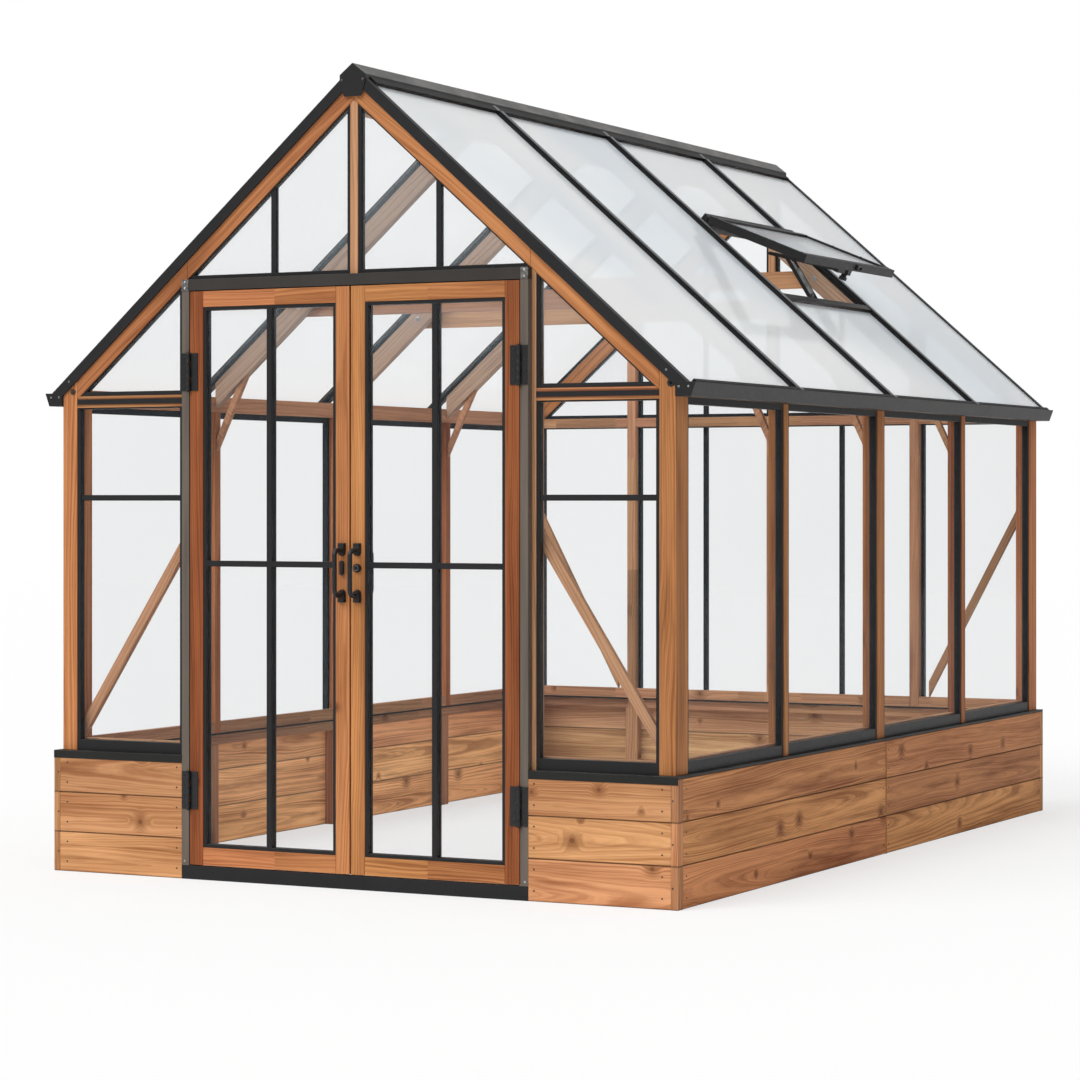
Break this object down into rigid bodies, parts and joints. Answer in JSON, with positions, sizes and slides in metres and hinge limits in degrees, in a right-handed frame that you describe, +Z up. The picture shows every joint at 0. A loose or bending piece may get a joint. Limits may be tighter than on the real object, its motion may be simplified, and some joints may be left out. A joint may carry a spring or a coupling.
{
  "type": "greenhouse",
  "caption": "Wooden greenhouse with glazed double doors, planked base, mullioned glass walls and a pitched glass roof with an opening vent.",
  "frame": {"origin": "centre of the footprint at ground level", "axes": "+X towards the wall under the vented slope, +Y from the doors to the rear, +Z up"},
  "size_m": [2.542, 3.717, 2.7879],
  "materials": {
    "board_cedar": "oiled cedar with knots",
    "post_cedar": "oiled cedar",
    "inner_cedar": "plain sawn cedar",
    "black_profile": "matt black powder coat",
    "black_hardware": "satin black paint",
    "opener_metal": "dark satin",
    "wall_glass": "clear",
    "roof_glass": "clear"
  },
  "bodies": {
    "house": {"front_base_boards": "board_cedar", "left_base_boards": "board_cedar", "right_base_boards": "board_cedar", "rear_base_boards": "board_cedar", "base_corner_trims": "board_cedar", "base_inner_frame": "inner_cedar", "base_flashing": "black_profile", "corner_posts": "post_cedar", "door_posts": "inner_cedar", "left_wall_mullions": "post_cedar", "right_wall_mullions": "post_cedar", "eave_beams": "inner_cedar", "front_wall_rails": "post_cedar", "rear_wall_timbers": "inner_cedar", "front_gable_rafters": "post_cedar", "rear_gable_rafters": "post_cedar", "gable_king_posts": "inner_cedar", "inner_rafters": "inner_cedar", "ridge_beam": "inner_cedar", "collar_ties": "inner_cedar", "braces": "inner_cedar", "door_frame": "black_profile", "door_threshold": "black_profile", "front_glazing_frames": "black_profile", "left_window_frames": "black_profile", "right_window_frames": "black_profile", "rear_glazing_frames": "black_profile", "left_roof_bars": "black_profile", "right_roof_bars": "black_profile", "ridge_cap": "black_profile", "rake_trims": "black_profile", "gutters": "black_profile", "roof_end_caps": "black_profile", "vent_curb": "black_profile", "front_glass": "wall_glass", "rear_glass": "wall_glass", "left_wall_glass": "wall_glass", "right_wall_glass": "wall_glass", "left_roof_glass": "roof_glass", "right_roof_glass": "roof_glass", "jamb_hinge_leaves": "black_hardware", "opener_bracket": "black_hardware"},
    "left_door": {"left_door_timber": "post_cedar", "left_door_glazing_bars": "black_profile", "left_door_glass": "wall_glass", "left_door_hinge_leaves": "black_hardware", "left_door_handles": "black_hardware"},
    "right_door": {"right_door_timber": "post_cedar", "right_door_glazing_bars": "black_profile", "right_door_glass": "wall_glass", "right_door_hinge_leaves": "black_hardware", "right_door_handles": "black_hardware"},
    "thumb_turn": {"thumb_turn": "black_hardware"},
    "key_cylinder": {"key_cylinder": "black_hardware"},
    "vent": {"vent_sash": "black_profile", "vent_glass": "roof_glass"},
    "lower_arms": {"opener_lower_arms": "black_hardware", "opener_cylinder": "opener_metal"},
    "upper_arms": {"opener_upper_arms": "black_hardware"}
  },
  "joints": [
    {"name": "left_door_hinge", "type": "hinge", "parent": "house", "child": "left_door", "pos_m": [-0.6465, -1.807, 1], "axis": [0, 0, -1], "range_deg": [0, 110]},
    {"name": "right_door_hinge", "type": "hinge", "parent": "house", "child": "right_door", "pos_m": [0.6465, -1.807, 1], "axis": [0, 0, 1], "range_deg": [0, 110]},
    {"name": "thumb_turn_spindle", "type": "hinge", "parent": "left_door", "child": "thumb_turn", "pos_m": [-0.03, -1.7988, 1.083], "axis": [0, -1, 0], "range_deg": [0, 90]},
    {"name": "key_cylinder_plug", "type": "hinge", "parent": "right_door", "child": "key_cylinder", "pos_m": [0.03, -1.7988, 1.083], "axis": [0, -1, 0], "range_deg": [0, 90]},
    {"name": "vent_hinge", "type": "hinge", "parent": "house", "child": "vent", "pos_m": [0.48811, 0.479, 2.37796], "axis": [0, -1, 0], "range_deg": [-19, 15]},
    {"name": "opener_foot_pivot", "type": "hinge", "parent": "house", "child": "lower_arms", "pos_m": [0.75388, 0.479, 2.07884], "axis": [0, -1, 0], "range_deg": [-10, 12]},
    {"name": "opener_sash_pivot", "type": "hinge", "parent": "vent", "child": "upper_arms", "pos_m": [0.84997, 0.479, 2.20869], "axis": [0, -1, 0], "range_deg": [-12, 10]}
  ],
  "couplings": [
    {"joint": "opener_foot_pivot", "follows": "vent_hinge", "ratio": -0.5},
    {"joint": "opener_sash_pivot", "follows": "vent_hinge", "ratio": 0.455}
  ]
}
